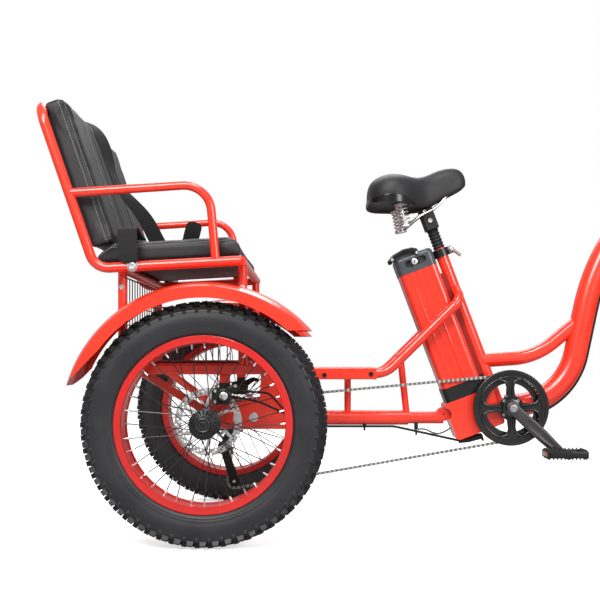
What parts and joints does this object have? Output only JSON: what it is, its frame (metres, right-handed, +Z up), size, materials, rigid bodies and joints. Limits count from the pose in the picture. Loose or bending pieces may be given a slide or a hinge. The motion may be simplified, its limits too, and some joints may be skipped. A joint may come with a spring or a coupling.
{
  "type": "electric tricycle",
  "caption": "Three-wheeled electric cycle with fat tyres, a step-through frame with a seat-tube battery, and a cushioned passenger bench with armrests over a wire cargo basket.",
  "frame": {"origin": "on the floor under the middle of the whole length and width", "axes": "+X forward, +Y to the rider's left, +Z up"},
  "size_m": [2.1424, 0.85, 1.1253],
  "materials": {
    "red_paint": "gloss",
    "rim_paint": "satin",
    "tyre_rubber": "matte",
    "black_metal": "satin",
    "bare_steel": "brushed",
    "bright_plate": "polished",
    "leatherette": "grained",
    "webbing": "woven",
    "black_plastic": "matte",
    "black_rubber": "matte",
    "wire_coating": "satin"
  },
  "bodies": {
    "frame": {"main_tube": "red_paint", "head_tube": "red_paint", "step_tube": "red_paint", "seat_tube": "red_paint", "bottom_bracket": "red_paint", "controller_box": "red_paint", "upper_stays": "red_paint", "lower_tube": "red_paint", "rear_subframe": "red_paint", "seat_posts": "red_paint", "seat_frame": "red_paint", "cargo_basket": "wire_coating", "rear_fender_right": "red_paint", "rear_fender_left": "red_paint", "seat_cushion": "leatherette", "back_cushion": "leatherette", "seat_belts": "webbing", "battery_case": "red_paint", "battery_cap": "black_plastic", "battery_dock": "black_plastic", "seat_post": "black_rubber", "seat_clamp": "black_metal", "saddle": "leatherette", "saddle_springs": "bright_plate", "chain": "bare_steel", "derailleur": "black_plastic", "rear_calipers": "black_plastic", "cables": "black_rubber"},
    "steering": {"fork": "black_metal", "stem": "black_metal", "handlebar": "black_metal", "grips": "black_rubber", "brake_levers": "black_plastic", "display": "black_plastic", "headlight": "black_plastic", "front_fender": "red_paint", "front_caliper": "black_plastic"},
    "front_wheel": {"front_tyre": "tyre_rubber", "front_rim": "rim_paint", "front_hub": "black_metal", "front_rotor": "bare_steel"},
    "rear_wheel_right": {"rear_tyre_right": "tyre_rubber", "rear_rim_right": "rim_paint", "rear_hub_right": "black_metal", "rear_rotor_right": "bare_steel", "rear_axle": "bare_steel"},
    "rear_wheel_left": {"rear_tyre_left": "tyre_rubber", "rear_rim_left": "rim_paint", "rear_hub_left": "black_metal", "rear_rotor_left": "bare_steel"},
    "crank": {"chainring": "black_plastic", "crank_arms": "black_metal"},
    "pedal_right": {"pedal_right": "black_plastic"},
    "pedal_left": {"pedal_left": "black_plastic"}
  },
  "joints": [
    {"name": "steering_turn", "type": "hinge", "parent": "frame", "child": "steering", "pos_m": [0.57291, 0, 0.72798], "axis": [-0.342, 0, 0.9397], "range_deg": [-45, 45]},
    {"name": "front_wheel_spin", "type": "hinge", "parent": "steering", "child": "front_wheel", "pos_m": [0.77125, 0, 0.3], "axis": [0, 1, 0], "continuous": true},
    {"name": "rear_right_spin", "type": "hinge", "parent": "frame", "child": "rear_wheel_right", "pos_m": [-0.63875, -0.36, 0.3], "axis": [0, 1, 0], "continuous": true},
    {"name": "rear_left_spin", "type": "hinge", "parent": "frame", "child": "rear_wheel_left", "pos_m": [-0.63875, 0.36, 0.3], "axis": [0, 1, 0], "continuous": true},
    {"name": "crank_turn", "type": "hinge", "parent": "frame", "child": "crank", "pos_m": [0.17325, 0, 0.322], "axis": [0, 1, 0], "continuous": true},
    {"name": "pedal_right_turn", "type": "hinge", "parent": "crank", "child": "pedal_right", "pos_m": [0.29904, -0.152, 0.2047], "axis": [0, 1, 0], "continuous": true},
    {"name": "pedal_left_turn", "type": "hinge", "parent": "crank", "child": "pedal_left", "pos_m": [0.04746, 0.152, 0.4393], "axis": [0, 1, 0], "continuous": true}
  ]
}
